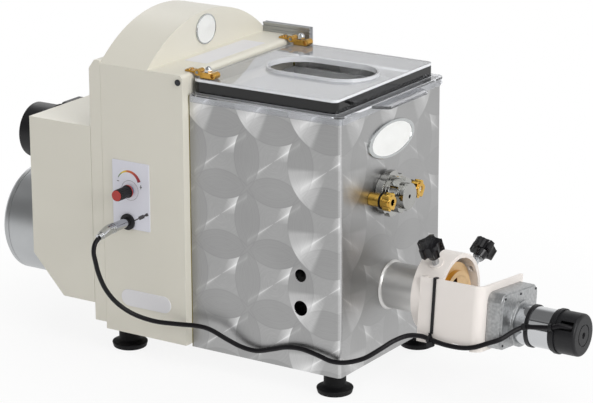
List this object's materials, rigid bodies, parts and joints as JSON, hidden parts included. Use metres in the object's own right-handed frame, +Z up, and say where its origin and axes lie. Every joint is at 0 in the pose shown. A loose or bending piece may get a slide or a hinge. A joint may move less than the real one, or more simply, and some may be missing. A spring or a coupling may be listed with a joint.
{
  "type": "electric pasta maker",
  "caption": "Tabletop electric pasta maker: kneading tank with clear hinged lid, gear column with rear motor, extrusion tube with clamped motor-driven cutter on a corded plug.",
  "frame": {"origin": "on the floor, midway between the four feet", "axes": "+X towards the extrusion tube at the front, +Y to the side away from the control plate, +Z up"},
  "size_m": [0.832, 0.3467, 0.433],
  "materials": {
    "ivory_enamel": "smooth ivory stove enamel",
    "stainless_swirl": "engine-turned stainless steel",
    "stainless_satin": "satin stainless steel",
    "chrome_bright": "bright chrome plate",
    "brass_plain": "turned brass",
    "zinc_cast": "zinc die casting",
    "aluminium_grooved": "anodised extrusion",
    "bracket_enamel": "off-white powder coat",
    "rubber_black": "moulded black rubber",
    "plastic_black": "moulded black plastic",
    "plastic_red": "moulded red plastic",
    "plastic_green": "moulded green plastic",
    "plastic_white": "printed white plate",
    "polycarbonate": "clear moulded polycarbonate",
    "gear_steel": "machined steel with an oil film",
    "cord_pvc": "black PVC sheath",
    "gasket_olive": "olive sealing strip"
  },
  "bodies": {
    "root": {"gear_housing": "ivory_enamel", "rear_cover": "ivory_enamel", "motor_box": "ivory_enamel", "tank_casing": "stainless_swirl", "base_plate": "stainless_satin", "casing_gasket": "gasket_olive", "kneading_tank": "stainless_satin", "auger_barrel": "stainless_satin", "shaft_hub": "chrome_bright", "hub_sleeves": "brass_plain", "feet": "rubber_black", "cover_screws": "chrome_bright", "hinge_leaves": "brass_plain", "hinge_pins": "stainless_satin", "lid_switch_bar": "aluminium_grooved", "control_panel": "plastic_white", "speed_potentiometer": "stainless_satin", "cutter_socket": "plastic_black", "cable_gland": "plastic_black", "gear_plate": "gear_steel", "shaft_bearings": "gear_steel", "shaft_seals": "rubber_black", "motor_frame": "aluminium_grooved", "motor_end_cover": "aluminium_grooved", "ring_nut": "brass_plain", "extrusion_die": "brass_plain", "tube_seal": "rubber_black", "cutter_bracket": "bracket_enamel", "cutter_gearbox": "zinc_cast", "cutter_motor": "chrome_bright", "cutter_motor_cap": "plastic_black", "cable_ties": "plastic_black", "cutter_plug": "chrome_bright", "cutter_cord": "cord_pvc", "selector_shroud": "plastic_black", "button_hood": "plastic_black"},
    "lid": {"lid": "polycarbonate", "lid_hinge_leaves": "brass_plain", "lid_bolts": "chrome_bright"},
    "kneader": {"kneading_shaft": "stainless_satin", "kneading_paddles": "stainless_satin", "kneading_gear": "gear_steel"},
    "auger": {"auger": "stainless_satin", "auger_gear": "gear_steel"},
    "layshaft": {"layshaft": "gear_steel", "layshaft_gears": "gear_steel"},
    "rotor": {"motor_rotor": "gear_steel", "motor_pinion": "gear_steel"},
    "knife": {"knife_shaft": "stainless_satin", "knife_blade": "stainless_satin"},
    "speed_knob": {"speed_knob": "plastic_black", "speed_knob_cap": "plastic_red", "speed_knob_shaft": "stainless_satin"},
    "selector": {"selector_knob": "plastic_black"},
    "start_button": {"start_button": "plastic_green"},
    "stop_button": {"stop_button": "plastic_red"},
    "star_knob_left": {"star_knob_left": "plastic_black"},
    "star_knob_right": {"star_knob_right": "plastic_black"},
    "brass_knob_left": {"brass_knob_left": "brass_plain"},
    "brass_knob_right": {"brass_knob_right": "brass_plain"}
  },
  "joints": [
    {"name": "lid_hinge", "type": "hinge", "parent": "root", "child": "lid", "pos_m": [-0.0365, 0, 0.382], "axis": [0, -1, 0], "range_deg": [0, 100]},
    {"name": "kneading_spin", "type": "hinge", "parent": "root", "child": "kneader", "pos_m": [0.0665, -0.016, 0.23897], "axis": [1, 0, 0], "continuous": true},
    {"name": "auger_spin", "type": "hinge", "parent": "root", "child": "auger", "pos_m": [0.0665, 0, 0.115], "axis": [1, 0, 0], "continuous": true},
    {"name": "layshaft_spin", "type": "hinge", "parent": "root", "child": "layshaft", "pos_m": [-0.1285, 0.072, 0.115], "axis": [1, 0, 0], "continuous": true},
    {"name": "motor_spin", "type": "hinge", "parent": "root", "child": "rotor", "pos_m": [-0.2765, 0, 0.115], "axis": [1, 0, 0], "continuous": true},
    {"name": "knife_spin", "type": "hinge", "parent": "root", "child": "knife", "pos_m": [0.29, 0, 0.115], "axis": [1, 0, 0], "continuous": true},
    {"name": "speed_knob_turn", "type": "hinge", "parent": "root", "child": "speed_knob", "pos_m": [-0.1255, -0.145, 0.223], "axis": [0, -1, 0], "range_deg": [0, 270]},
    {"name": "selector_turn", "type": "hinge", "parent": "root", "child": "selector", "pos_m": [-0.295, -0.071, 0.26], "axis": [1, 0, 0], "range_deg": [-60, 60]},
    {"name": "start_button_press", "type": "slide", "parent": "root", "child": "start_button", "axis": [1, 0, 0], "range_m": [0, 0.004], "stiffness_N_per_m": 400},
    {"name": "stop_button_press", "type": "slide", "parent": "root", "child": "stop_button", "axis": [1, 0, 0], "range_m": [0, 0.004], "stiffness_N_per_m": 400},
    {"name": "star_knob_left_turn", "type": "hinge", "parent": "root", "child": "star_knob_left", "pos_m": [0.2555, -0.04, 0.18798], "axis": [0, -0.5, 0.866], "range_deg": [0, 720]},
    {"name": "star_knob_right_turn", "type": "hinge", "parent": "root", "child": "star_knob_right", "pos_m": [0.2685, 0.06928, 0.1587], "axis": [0, 0.866, 0.5], "range_deg": [0, 720]},
    {"name": "brass_knob_left_turn", "type": "hinge", "parent": "root", "child": "brass_knob_left", "pos_m": [0.2, -0.05, 0.23897], "axis": [1, 0, 0], "range_deg": [0, 720]},
    {"name": "brass_knob_right_turn", "type": "hinge", "parent": "root", "child": "brass_knob_right", "pos_m": [0.2, 0.018, 0.23897], "axis": [1, 0, 0], "range_deg": [0, 720]}
  ],
  "couplings": [
    {"joint": "auger_spin", "follows": "kneading_spin", "ratio": -1.5},
    {"joint": "layshaft_spin", "follows": "kneading_spin", "ratio": 3.4091},
    {"joint": "motor_spin", "follows": "kneading_spin", "ratio": -10.227}
  ]
}
